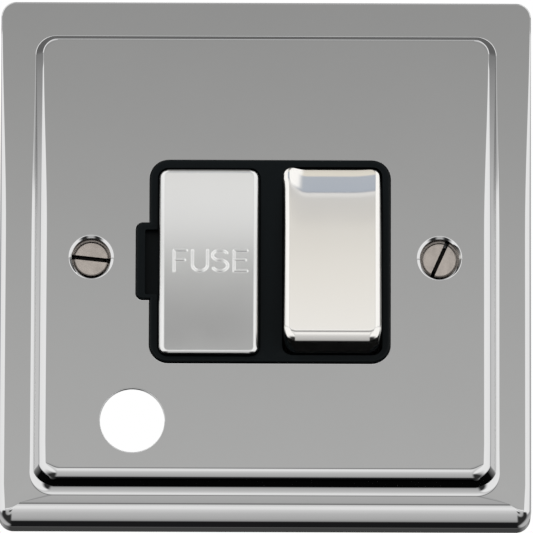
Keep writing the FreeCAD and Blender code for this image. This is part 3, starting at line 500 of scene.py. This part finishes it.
# The carrier's cap, with its rows closest where the letters are.
def fuseCarrierCap():
    c = fuseCap

    # The crown's depth: the distance from its crest line squared over twice its radius, plus a
    # much flatter arc across.
    def smooth(x, z, inset=0.0):
        along = (z + c["crestBelow"]) ** 2 / (2 * c["radius"])
        return c["crest"] + inset + along + x ** 2 / (2 * c["acrossRadius"])

    # Each stroke is a stamped groove: its depth falls with the distance from the centre line, by
    # the root of the squared share plus a small value at the floor, and by a power at the rim.
    def lettered(x, z):
        share = np.clip(letterDistance(x + c["x"], z + c["z"]) / c["letterHalf"], 0, 1)
        rounded = np.sqrt(share ** 2 + c["floorRound"]) - math.sqrt(c["floorRound"])
        fall = np.clip(1 - rounded / rounded.max(), 0, 1) ** c["rimPower"]
        return smooth(x, z) + c["stampDepth"] * fall

    reach, margin = c["halfZ"] - c["edges"][1], c["letterMargin"]
    low = (c["letterLow"] - c["z"] - margin) / reach
    high = (c["letterHigh"] - c["z"] + margin) / reach
    end, count = c["rowEnds"]
    rows = spaced(-1, (-end, count), (low, c["rowsBelow"]), (high, c["rowsLetters"]),
                  (end, c["rowsAbove"]), (1, count))
    columns = np.linspace(-1, 1, c["columns"])
    parts = capParts(c, (rows, columns), lettered, lambda x, z: smooth(x, z, c["sheet"]),
                     np.zeros_like, c["back"])
    return makePiece("fuseCarrierSkin", parts, "fuse_drawer",
                     ["fuse_carrier_cap"], sharp=60)


# The rocker's cap, built level and then turned about its pivot to its tilt at rest.
def rockerCap():
    c = rocker
    heights = np.linspace(*c["slopeHeights"])
    slopes = np.interp(heights, *np.array(c["slopes"]).T)
    rises = np.tan(np.radians((slopes[1:] + slopes[:-1]) / 2)) * np.diff(heights)
    depths = np.concatenate([[0], np.cumsum(rises)])
    depths -= depths.min()

    # The face's depth is the sum of its slopes from the bottom up. Towards its left and right
    # sides the bend starts higher, each by a squared ramp with its start, length and most.
    def face(x, z, inset=0.0):
        shift = 0
        for sign, (start, length, most) in ((-1, c["bendLeft"]), (1, c["bendRight"])):
            shift = shift + np.clip((sign * x - start) / length, 0, 1) ** 2 * most
        start, length = c["bendRise"]
        rising = np.clip((z - start) / length, 0, 1)
        return c["faceY"] + inset + np.interp(z - shift * rising, heights, depths)

    end, count = c["rowEnds"]
    rows = spaced(-1, (-end, count), (c["rowSplit"], c["rowsBelow"]), (end, c["rowsAbove"]),
                  (1, count))
    end, count = c["columnEnds"]
    columns = spaced(-1, (-end, count), (end, c["columns"]), (1, count))
    parts = capParts(c, (rows, columns), face, lambda x, z: face(x, z, c["sheet"]), drumHalf,
                     c["faceY"] + c["skirt"])
    turn = math.radians(-c["tilt"])
    cos, sin = math.cos(turn), math.sin(turn)
    tilted = []
    for points, faces in parts:
        y, z = points[:, 1] - c["pivotY"], points[:, 2] - c["z"]
        moved = np.stack([points[:, 0], c["pivotY"] + y * cos - z * sin,
                          c["z"] + y * sin + z * cos], axis=1)
        tilted.append((moved, faces))
    return makePiece("rockerSkin", tilted, "rocker", ["rocker_cap"], sharp=60)


fixingScrew = {"round": 0.09, "steps": 3, "bevelFrom": 35, "crisp": 38, "flat": 1}


# A CAD node's own mesh with its flat faces joined and its edges rounded by a bevel.
def roundedCopy(name, node, body):
    c = fixingScrew
    mesh = nodes[node].data.copy()
    mesh.name = name
    form = bmesh.new()
    form.from_mesh(mesh)
    bmesh.ops.remove_doubles(form, verts=form.verts, dist=leastEdge)
    bmesh.ops.dissolve_limit(form, angle_limit=math.radians(c["flat"]), verts=form.verts,
                             edges=form.edges)
    form.to_mesh(mesh)
    form.free()
    mesh.shade_smooth()
    mesh.set_sharp_from_angle(angle=math.radians(c["crisp"]))
    piece = bpy.data.objects.new(name, mesh)
    bpy.context.scene.collection.objects.link(piece)
    bevel = piece.modifiers.new("roundedEdges", "BEVEL")
    bevel.width = c["round"] * mm
    bevel.segments = c["steps"]
    bevel.limit_method = "ANGLE"
    bevel.angle_limit = math.radians(c["bevelFrom"])
    evenNormals(piece)
    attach(piece, body)
    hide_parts(node)
    return piece


# The new pieces by material; each one stands for the CAD nodes named where it is made.
dressed = {
    "plate_chrome": [frontPlate()],
    "insert_black": [insertBezel()],
    "carrier_metal": [fuseCarrierCap()],
    "rocker_chrome": [rockerCap()],
    "fixing_steel": [roundedCopy("fixingScrewLeft", "fixing_screw_left", "root"),
                     roundedCopy("fixingScrewRight", "fixing_screw_right", "root")],
}
print("front pieces made")


# A colour with its alpha; one number is a grey.
def solidColor(color):
    return (*color, 1) if isinstance(color, tuple) else (color, color, color, 1)


# Puts a value on a node's socket, or links another node's output to it.
def feed(tree, socket, value):
    if hasattr(value, "is_output"):
        tree.links.new(value, socket)
    else:
        socket.default_value = value


# A node group with its sockets: label, kind and value of each input, label and kind of its output.
def makeGroup(name, inputs, output):
    group = bpy.data.node_groups.new(name, "ShaderNodeTree")
    for label, kind, value in inputs:
        socket = group.interface.new_socket(name=label, in_out="INPUT", socket_type=kind)
        if value is not None:
            socket.default_value = value
    label, kind = output
    group.interface.new_socket(name=label, in_out="OUTPUT", socket_type=kind)
    source, sink = group.nodes.new("NodeGroupInput"), group.nodes.new("NodeGroupOutput")
    return group, source.outputs, sink.inputs[0]


# One step of arithmetic on numbers or other nodes' outputs; clamp keeps it from 0 to 1.
def mathNode(tree, operation, a, b=None, clamp=False):
    node = tree.nodes.new("ShaderNodeMath")
    node.operation = operation
    node.use_clamp = clamp
    feed(tree, node.inputs[0], a)
    if b is not None:
        feed(tree, node.inputs[1], b)
    return node.outputs[0]


# Perlin noise of a place: about 0.5 on average, finer with the scale, with detail as octaves.
def noiseNode(tree, vector, scale, detail):
    node = tree.nodes.new("ShaderNodeTexNoise")
    node.inputs["Detail"].default_value = detail
    feed(tree, node.inputs["Vector"], vector)
    feed(tree, node.inputs["Scale"], scale)
    return node.outputs["Fac"]


# A vector's three parts as outputs X, Y and Z.
def splitNode(tree, vector):
    node = tree.nodes.new("ShaderNodeSeparateXYZ")
    feed(tree, node.inputs[0], vector)
    return node.outputs


# A smooth step of a value from low to high.
def stepNode(tree, value, low, high):
    node = tree.nodes.new("ShaderNodeMapRange")
    node.interpolation_type = "SMOOTHSTEP"
    feed(tree, node.inputs["Value"], value)
    feed(tree, node.inputs["From Min"], low)
    feed(tree, node.inputs["From Max"], high)
    return node.outputs["Result"]


vectorSocket, floatSocket, colorSocket = "NodeSocketVector", "NodeSocketFloat", "NodeSocketColor"


# Mottle: two noises, one coarse and one eight times finer, mixed three to one and centred on zero.
def mottleGroup():
    group, source, sink = makeGroup(
        "mottle", [("Vector", vectorSocket, None), ("Scale", floatSocket, 100.0)],
        ("Value", floatSocket))
    coarse = noiseNode(group, source["Vector"], source["Scale"], 2)
    fine = noiseNode(group, source["Vector"], mathNode(group, "MULTIPLY", source["Scale"], 8.0), 3)
    total = mathNode(group, "ADD", mathNode(group, "MULTIPLY", coarse, 0.75),
                     mathNode(group, "MULTIPLY", fine, 0.25))
    feed(group, sink, mathNode(group, "SUBTRACT", total, 0.5))
    return group


# Tinted: the colour times one plus the value times the amount.
def tintGroup():
    group, source, sink = makeGroup(
        "tinted", [("Color", colorSocket, (1, 1, 1, 1)), ("Value", floatSocket, 0.0),
                   ("Amount", floatSocket, 0.1)], ("Color", colorSocket))
    product = mathNode(group, "MULTIPLY", source["Value"], source["Amount"])
    scaled = group.nodes.new("ShaderNodeVectorMath")
    scaled.operation = "SCALE"
    feed(group, scaled.inputs[0], source["Color"])
    feed(group, scaled.inputs["Scale"], mathNode(group, "ADD", product, 1.0))
    feed(group, sink, scaled.outputs[0])
    return group


# Varied: a middle value plus the mottle times a spread.
def variedGroup():
    group, source, sink = makeGroup(
        "varied", [("Value", floatSocket, 0.0), ("Middle", floatSocket, 0.3),
                   ("Spread", floatSocket, 0.1)], ("Result", floatSocket))
    product = mathNode(group, "MULTIPLY", source["Value"], source["Spread"])
    feed(group, sink, mathNode(group, "ADD", product, source["Middle"], True))
    return group


# Edge wear: pointiness above its level times a steepness, plus the mottle, kept from 0 to 1.
def wearGroup():
    group, source, sink = makeGroup(
        "edgeWear", [("Value", floatSocket, 0.0), ("Level", floatSocket, 0.52),
                     ("Steepness", floatSocket, 12.0)], ("Mask", floatSocket))
    edges = group.nodes.new("ShaderNodeNewGeometry").outputs["Pointiness"]
    above = mathNode(group, "SUBTRACT", edges, source["Level"])
    risen = mathNode(group, "MULTIPLY", above, source["Steepness"])
    feed(group, sink, mathNode(group, "ADD", risen, source["Value"], True))
    return group


# Dust: the upward part of the normal squared, times the amount and one plus the mottle.
def dustGroup():
    group, source, sink = makeGroup(
        "dust", [("Value", floatSocket, 0.0), ("Amount", floatSocket, 0.2)],
        ("Mask", floatSocket))
    normal = group.nodes.new("ShaderNodeNewGeometry").outputs["Normal"]
    upward = mathNode(group, "MAXIMUM", splitNode(group, normal)["Z"], 0.0)
    speckled = mathNode(group, "MULTIPLY", mathNode(group, "MULTIPLY", upward, upward),
                        mathNode(group, "ADD", source["Value"], 1.0))
    feed(group, sink, mathNode(group, "MULTIPLY", speckled, source["Amount"], True))
    return group


# Painted shade in recesses: a smooth step of the depth along Y from unshaded to fully shaded, both
# in metres.
def recessShadeGroup():
    group, source, sink = makeGroup(
        "recessShade", [("Vector", vectorSocket, None), ("Clean", floatSocket, 0.0),
                  ("Covered", floatSocket, 0.001)], ("Mask", floatSocket))
    depth = splitNode(group, source["Vector"])["Y"]
    feed(group, sink, stepNode(group, depth, source["Clean"], source["Covered"]))
    return group


groups = {"recessShade": recessShadeGroup(), "mottle": mottleGroup(), "tinted": tintGroup(),
          "varied": variedGroup(), "wear": wearGroup(), "dust": dustGroup()}


# Each: colour, tint spread, metallic, roughness, its spread, mottle scale per metre, bump height in
# millimetres, and where it has them dust, wear, the depths of the painted recess shade and the
# specular level.
looks = {
    "plate_chrome": dict(
        color=(0.78, 0.78, 0.78), tint=0.04, metallic=1.0,
        rough=0.02, spread=0.03, scale=60, bump=0.0004),
    "rocker_chrome": dict(
        color=(0.96, 0.94, 0.905), tint=0.04, metallic=1.0,
        rough=0.13, spread=0.06, scale=90, bump=0.0006),
    "carrier_metal": dict(
        color=(0.87, 0.87, 0.86), tint=0.04, metallic=1.0,
        rough=0.21, spread=0.06, scale=90, bump=0.0006),
    "fixing_steel": dict(
        color=(0.62, 0.56, 0.51), tint=0.35, metallic=1.0,
        # The screws darken from 0.12 to 0.4 mm behind the head's face: painted shade in the slot
        # and round the head.
        rough=0.36, spread=0.3, scale=900, bump=0.008, recessShade=(0.12, 0.4)),
    "insert_black": dict(
        color=(0.0035, 0.005, 0.0057), tint=0.15, metallic=0.0,
        rough=0.3, spread=0.04, scale=500, bump=0.0006, dust=0.01, specular=0.08),
    "housing_black": dict(
        color=(0.012, 0.0125, 0.013), tint=0.5, metallic=0.0,
        rough=0.42, spread=0.15, scale=400, bump=0.006, dust=0.12, wear=0.2, specular=0.35),
    "clamp_black": dict(
        color=(0.014, 0.014, 0.015), tint=0.5, metallic=0.0,
        rough=0.45, spread=0.15, scale=600, bump=0.005, dust=0.1, wear=0.2, specular=0.35),
    "carrier_black": dict(
        color=(0.008, 0.008, 0.009), tint=0.5, metallic=0.0,
        rough=0.4, spread=0.12, scale=500, bump=0.004, wear=0.15, specular=0.3),
    "rocker_black": dict(
        color=(0.008, 0.008, 0.009), tint=0.5, metallic=0.0,
        rough=0.4, spread=0.12, scale=500, bump=0.004, wear=0.15, specular=0.3),
    "plunger_nylon": dict(
        color=(0.72, 0.69, 0.6), tint=0.12, metallic=0.0,
        rough=0.5, spread=0.1, scale=700, bump=0.004),
    "fuse_ceramic": dict(
        color=(0.82, 0.8, 0.74), tint=0.1, metallic=0.0,
        rough=0.28, spread=0.1, scale=500, bump=0.003),
    "fuse_nickel": dict(
        color=(0.72, 0.69, 0.63), tint=0.12, metallic=1.0,
        rough=0.22, spread=0.15, scale=600, bump=0.004),
    "contact_bronze": dict(
        color=(0.64, 0.42, 0.26), tint=0.2, metallic=1.0,
        rough=0.3, spread=0.2, scale=500, bump=0.004),
    "brass": dict(
        color=(0.78, 0.58, 0.27), tint=0.18, metallic=1.0,
        rough=0.27, spread=0.2, scale=500, bump=0.005),
    "spring_steel": dict(
        color=(0.56, 0.56, 0.55), tint=0.15, metallic=1.0,
        rough=0.3, spread=0.2, scale=800, bump=0.003),
    "screw_steel": dict(
        color=(0.66, 0.65, 0.62), tint=0.2, metallic=1.0,
        rough=0.3, spread=0.25, scale=800, bump=0.005),
}
dustColor = (0.33, 0.31, 0.28, 1)
wornColor = (0.09, 0.09, 0.092, 1)
wornLevel, wornSteepness, usualSpecular = 0.53, 10, 0.5
# Near black for the painted shade in the screws' slots and round their heads.
recessShadeColor = (0.012, 0.011, 0.01, 1)
fixingFace = min(corner[1] for corner in nodes["fixing_screw_left"].bound_box)


# A shared node group in a material's tree, with its inputs fed.
def placeGroup(tree, name, **values):
    node = tree.nodes.new("ShaderNodeGroup")
    node.node_tree = groups[name]
    for label, value in values.items():
        feed(tree, node.inputs[label], value)
    return node.outputs[0]


# Colour a where the mask is 0 and colour b where it is 1.
def mixColor(tree, mask, a, b):
    node = tree.nodes.new("ShaderNodeMix")
    node.data_type = "RGBA"
    feed(tree, node.inputs["Factor"], mask)
    feed(tree, node.inputs[6], a)
    feed(tree, node.inputs[7], b)
    return node.outputs[2]


# The mottle drives the colour's tint, the roughness and the bump; wear, dust and the painted shade
# in recesses are mixed over the colour in that order.
def makeMaterial(name, look):
    material = bpy.data.materials.new(name)
    material.use_nodes = True
    tree = material.node_tree
    shader = tree.nodes["Principled BSDF"].inputs
    place = tree.nodes.new("ShaderNodeTexCoord").outputs["Object"]
    value = placeGroup(tree, "mottle", Vector=place, Scale=look["scale"])
    color = placeGroup(tree, "tinted", Color=solidColor(look["color"]), Value=value,
                       Amount=look["tint"])
    if look.get("wear"):
        worn = placeGroup(tree, "wear", Value=value, Level=wornLevel,
                          Steepness=wornSteepness * look["wear"])
        color = mixColor(tree, worn, color, wornColor)
    if look.get("dust"):
        dusty = placeGroup(tree, "dust", Value=value, Amount=look["dust"])
        color = mixColor(tree, dusty, color, dustColor)
    # Painted shade: darkens whatever lies deeper than the screw head's face.
    if look.get("recessShade"):
        shadeStart, shadeFull = (fixingFace + depth * mm for depth in look["recessShade"])
        recessShaded = placeGroup(tree, "recessShade", Vector=place, Clean=shadeStart, Covered=shadeFull)
        color = mixColor(tree, recessShaded, color, recessShadeColor)
    rough = placeGroup(tree, "varied", Value=value, Middle=look["rough"], Spread=look["spread"])
    bump = tree.nodes.new("ShaderNodeBump")
    feed(tree, bump.inputs["Distance"], look["bump"] * mm)
    feed(tree, bump.inputs["Height"], value)
    feed(tree, shader["Base Color"], color)
    feed(tree, shader["Roughness"], rough)
    feed(tree, shader["Metallic"], look["metallic"])
    feed(tree, shader["Specular IOR Level"], look.get("specular", usualSpecular))
    feed(tree, shader["Normal"], bump.outputs["Normal"])
    return material


materials = {name: makeMaterial(name, look) for name, look in looks.items()}

# The CAD nodes that keep their own mesh, by material. Terminals are brass too.
slots = {
    "brass": ["plate_bosses", "supply_live_contact", "supply_neutral_contact", "live_link",
              "neutral_link", "load_live_link", "earth_strap_supply", "earth_strap_load"],
    "contact_bronze": ["fuse_clip_upper", "fuse_clip_lower", "contact_arm_live",
                       "contact_arm_neutral"],
    "screw_steel": ["terminal_screws", "housing_screws", "cord_clamp_screws"],
    "spring_steel": ["plunger_spring_live", "plunger_spring_neutral"],
    "plunger_nylon": ["plunger_live", "plunger_neutral"],
    "fuse_nickel": ["fuse_cap_upper", "fuse_cap_lower"],
    "fuse_ceramic": ["fuse_barrel"],
    "housing_black": ["rear_housing"],
    "clamp_black": ["cord_clamp_bar"],
    "carrier_black": ["fuse_carrier"],
    "rocker_black": ["rocker_body"],
}
slotOf = {name: slot for slot, names in slots.items() for name in names}
for name, node in nodes.items():
    slot = slotOf.get(name, "brass" if name.startswith("terminal_") else None)
    if slot:
        node.data.materials.clear()
        node.data.materials.append(materials[slot])
for slot, pieces in dressed.items():
    for piece in pieces:
        piece.data.materials.clear()
        piece.data.materials.append(materials[slot])
print("materials placed")


# Lens, sensor and target in millimetres, distances in metres, below and roll in degrees.
view = {"lens": 800.0, "sensor": 36.0, "distance": 2.05, "below": 11.2, "targetX": 0.2,
        "targetY": -12.2, "targetZ": -1.56, "roll": 0.2, "nearest": 0.05, "farthest": 50.0}

# Brightness of the studio's world, as stops of an angle in degrees and a colour or a grey. The
# upwards lists go round in the plane through Y and Z, from straight ahead of the object over its
# top; the near list has the finer steps of the part between its ends. All heights are turned down
# by studioTurn.
studioTurn = 2.4
upwardsFar = [
    (-180, 0.06), (-166, 0.055), (-157, 0.11), (-150, (0.012, 0.012, 0.013)),
    (-98, (0.012, 0.012, 0.013)), (-90, 0.35), (-76, 0.48), (-45, 0.58), (-26, 0.75), (-20, 0.9),
    (70, 0.24), (132, 0.24), (146, 0.12), (165, 0.12), (180, 0.2),
]
upwardsNear = [
    (-20, 0.9), (-10, 0.95), (1, 0.75), (5, 0.2), (8, 0.2), (11, 0.47),
    (12.4, (0.515, 0.515, 0.51)), (13.6, (0.45, 0.45, 0.445)), (14.7, (0.365, 0.365, 0.36)),
    (16, 0.31), (17.5, 0.95), (25, 0.9), (27.5, (0.8, 0.78, 0.73)), (30, (0.62, 0.61, 0.59)),
    (34, 0.56), (37, 0.8), (40.5, (0.75, 0.75, 0.76)), (41.5, (0.2, 0.22, 0.28)),
    (42.3, (0.2, 0.22, 0.28)), (43.3, (0.40, 0.45, 0.53)), (54, (0.42, 0.46, 0.53)),
    (57, (0.76, 0.73, 0.66)), (64, (0.76, 0.73, 0.66)), (68, 0.24), (70, 0.24),
]
# By the angle sideways from straight ahead: the side light, and what shows where it is screened.
sideways = [
    (0, 0.36), (8, 0.3), (14, 0.7), (19, 1.0), (98, 0.95), (112, (0.34, 0.34, 0.35)),
    (122, (0.34, 0.34, 0.35)), (136, 0.52), (180, 0.5),
]
screen = [(0, 0.36), (20, 0.55), (70, 0.55), (110, 0.2), (180, 0.2)]
# By the angle above level: what metal shows when it is seen in other metal.
mirroredTwice = [(-90, 0.0), (-20, 0.004), (2, 0.3), (9, 0.85), (13.9, 0.8), (14.6, 0.27),
                 (19.5, 0.17), (90, 0.17)]
# Angles above level over which the side light goes out, comes back and fades below; the sideways
# part of the direction over which it takes over from the middle; the grey below; and the depth of
# a ray from which metal shows mirroredTwice.
sideSteps = {"out": (14.38, 14.75), "back": (16.6, 17.5), "below": (-56, -38),
             "aside": (0.08, 0.3), "low": 0.03, "depth": 2.5}


# A colour ramp over angles: each stop sits at its angle's share of the whole range.
def rampNode(tree, angle, stops):
    low, high = stops[0][0], stops[-1][0]
    share = mathNode(tree, "DIVIDE", mathNode(tree, "SUBTRACT", angle, low), high - low)
    ramp = tree.nodes.new("ShaderNodeValToRGB")
    elements = ramp.color_ramp.elements
    while len(elements) < len(stops):
        elements.new(0.5)
    for element, (degrees, color) in zip(elements, stops):
        element.position = (degrees - low) / (high - low)
        element.color = solidColor(color)
    feed(tree, ramp.inputs["Fac"], share)
    return ramp.outputs["Color"]


# Rise is the angle from straight ahead over the top, by the arc tangent of up and ahead; swing is
# the same sideways; level is the arc sine of the upward part. The middle and the side light are
# mixed by how far the direction goes sideways. The camera itself sees white.
def studioWorld():
    world = bpy.data.worlds.new("studio")
    bpy.context.scene.world = world
    world.use_nodes = True
    tree = world.node_tree
    tree.nodes.clear()
    way = splitNode(tree, tree.nodes.new("ShaderNodeTexCoord").outputs["Generated"])
    ahead = mathNode(tree, "MULTIPLY", way["Y"], -1.0)
    aside = mathNode(tree, "ABSOLUTE", way["X"])
    rise = mathNode(tree, "DEGREES", mathNode(tree, "ARCTAN2", way["Z"], ahead))
    rise = mathNode(tree, "ADD", rise, studioTurn)
    swing = mathNode(tree, "DEGREES", mathNode(tree, "ARCTAN2", aside, ahead))
    level = mathNode(tree, "DEGREES", mathNode(tree, "ARCSINE", way["Z"]))
    level = mathNode(tree, "ADD", level, studioTurn)
    near = mathNode(tree, "MULTIPLY", mathNode(tree, "GREATER_THAN", rise, upwardsNear[0][0]),
                    mathNode(tree, "LESS_THAN", rise, upwardsNear[-1][0]))
    middle = mixColor(tree, near, rampNode(tree, rise, upwardsFar),
                      rampNode(tree, rise, upwardsNear))
    screened = mathNode(tree, "SUBTRACT", stepNode(tree, level, *sideSteps["out"]),
                        stepNode(tree, level, *sideSteps["back"]), True)
    side = mixColor(tree, screened, rampNode(tree, swing, sideways), rampNode(tree, swing, screen))
    side = mixColor(tree, stepNode(tree, level, *sideSteps["below"]),
                    solidColor(sideSteps["low"]), side)
    light = mixColor(tree, stepNode(tree, aside, *sideSteps["aside"]), middle, side)
    path = tree.nodes.new("ShaderNodeLightPath").outputs
    again = mathNode(tree, "GREATER_THAN", path["Ray Depth"], sideSteps["depth"])
    light = mixColor(tree, again, light, rampNode(tree, level, mirroredTwice))
    seen = mathNode(tree, "MAXIMUM", path["Is Camera Ray"], path["Is Transmission Ray"])
    light = mixColor(tree, seen, light, solidColor(1.0))
    background = tree.nodes.new("ShaderNodeBackground")
    feed(tree, background.inputs["Color"], light)
    output = tree.nodes.new("ShaderNodeOutputWorld")
    feed(tree, output.inputs["Surface"], background.outputs[0])


# Turns an object so that it looks from its place to a point, along its own -Z axis.
def aim(thing, point):
    thing.rotation_mode = "QUATERNION"
    thing.rotation_quaternion = (Vector(point) - thing.location).to_track_quat("-Z", "Y")


# Places and sizes in metres, power in watts.
lamps = [
    dict(name="keyLamp", place=(-0.7, -1.1, 0.9), size=0.9, power=9.0),
    dict(name="fillLamp", place=(0.9, -1.0, 0.2), size=0.9, power=5.0),
    dict(name="backLamp", place=(0.2, 1.0, 0.8), size=0.9, power=6.0),
]
ground = {"reach": 4.0, "height": -0.64, "color": 0.86, "rough": 0.8}


# The world, three soft lamps that no mirror shows, and a pale floor far below.
def studio():
    studioWorld()
    for lamp in lamps:
        data = bpy.data.lights.new(lamp["name"], "AREA")
        data.shape = "DISK"
        data.size = lamp["size"]
        data.energy = lamp["power"]
        thing = bpy.data.objects.new(lamp["name"], data)
        thing.location = lamp["place"]
        thing.visible_glossy = False
        bpy.context.scene.collection.objects.link(thing)
        aim(thing, (0, 0, 0))
    mesh = bpy.data.meshes.new("floor")
    far, low = ground["reach"], ground["height"]
    mesh.from_pydata([(-far, -far, low), (far, -far, low), (far, far, low), (-far, far, low)], [],
                     [(0, 1, 2, 3)])
    floor = bpy.data.objects.new("floor", mesh)
    bpy.context.scene.collection.objects.link(floor)
    floor.visible_glossy = False
    material = bpy.data.materials.new("floorPaint")
    material.use_nodes = True
    shader = material.node_tree.nodes["Principled BSDF"]
    shader.inputs["Base Color"].default_value = solidColor(ground["color"])
    shader.inputs["Roughness"].default_value = ground["rough"]
    mesh.materials.append(material)


# The camera looks up at its target from below, by the angle's cosine and sine, with a slight roll.
def camera():
    data = bpy.data.cameras.new("camera")
    data.lens = view["lens"]
    data.sensor_width = view["sensor"]
    data.clip_start = view["nearest"]
    data.clip_end = view["farthest"]
    thing = bpy.data.objects.new("camera", data)
    bpy.context.scene.collection.objects.link(thing)
    low = math.radians(view["below"])
    target = Vector((view["targetX"], view["targetY"], view["targetZ"])) * mm
    thing.location = target + Vector((0, -math.cos(low), -math.sin(low))) * view["distance"]
    aim(thing, target)
    roll = Quaternion((0, 0, 1), math.radians(view["roll"]))
    thing.rotation_quaternion = thing.rotation_quaternion @ roll
    bpy.context.scene.camera = thing


studio()
camera()
bpy.context.scene.view_settings.view_transform = "Standard"
print("light and camera set")
